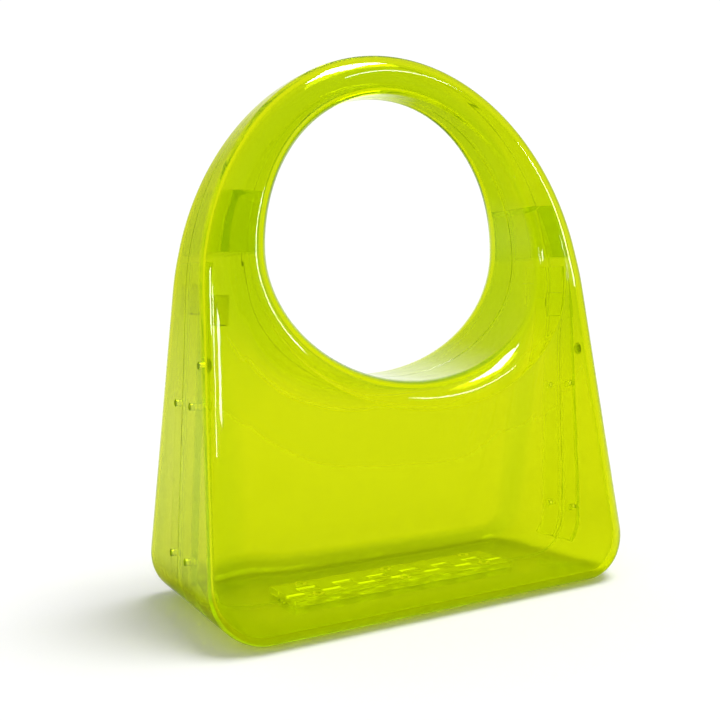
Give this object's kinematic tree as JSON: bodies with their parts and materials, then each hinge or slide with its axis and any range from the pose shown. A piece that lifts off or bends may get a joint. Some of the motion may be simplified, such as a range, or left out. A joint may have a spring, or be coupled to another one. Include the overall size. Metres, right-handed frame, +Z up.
{
  "type": "hard-shell clutch bag with a top handle",
  "caption": "Rigid see-through plastic clutch with an arched handle round a hand hole; two hollow half shells swing open on a floor hinge and close with side catches.",
  "frame": {"origin": "middle of the base, on the surface that the bag stands on", "axes": "+Z up, X along the width, -Y towards the front half that swings open"},
  "size_m": [0.1732, 0.0812, 0.2008],
  "materials": {
    "shell_plastic": "polished see-through lime plastic",
    "strip_plastic": "polished see-through lime plastic strip with cut edges",
    "plug_plastic": "see-through lime plastic block, deeper in colour",
    "hinge_plastic": "see-through lime plastic with cut edges",
    "catch_plastic": "see-through lime plastic with cut edges",
    "peg_plastic": "see-through lime plastic pegs",
    "stud_plastic": "dark lime plastic stud"
  },
  "bodies": {
    "back_half": {"back_shell": "shell_plastic", "hinge_leaf_back": "hinge_plastic", "hinge_pin": "hinge_plastic", "hinge_rivet_back_1": "peg_plastic", "hinge_rivet_back_2": "peg_plastic", "hinge_rivet_back_3": "peg_plastic", "rim_strip_back_left": "strip_plastic", "rim_strip_back_right": "strip_plastic", "strip_rivet_back_left_low": "peg_plastic", "strip_rivet_back_left_high": "peg_plastic", "strip_rivet_back_right_low": "peg_plastic", "strip_rivet_back_right_high": "peg_plastic", "leg_plug_back_left": "plug_plastic", "leg_plug_back_right": "plug_plastic", "catch_keeper_left": "catch_plastic", "catch_keeper_right": "catch_plastic"},
    "front_half": {"front_shell": "shell_plastic", "hinge_leaf_front": "hinge_plastic", "hinge_rivet_front_1": "peg_plastic", "hinge_rivet_front_2": "peg_plastic", "hinge_rivet_front_3": "peg_plastic", "rim_strip_front_left": "strip_plastic", "rim_strip_front_right": "strip_plastic", "strip_rivet_front_left_low": "peg_plastic", "strip_rivet_front_left_high": "peg_plastic", "strip_rivet_front_right_low": "peg_plastic", "strip_rivet_front_right_high": "peg_plastic", "leg_plug_front_left": "plug_plastic", "leg_plug_front_right": "plug_plastic", "catch_tongue_left": "catch_plastic", "catch_tongue_right": "catch_plastic", "stud_left": "stud_plastic", "stud_right": "stud_plastic"}
  },
  "joints": [
    {"name": "floor_hinge", "type": "hinge", "parent": "back_half", "child": "front_half", "pos_m": [0, 0, 0.0022], "axis": [1, 0, 0], "range_deg": [0, 80]}
  ]
}
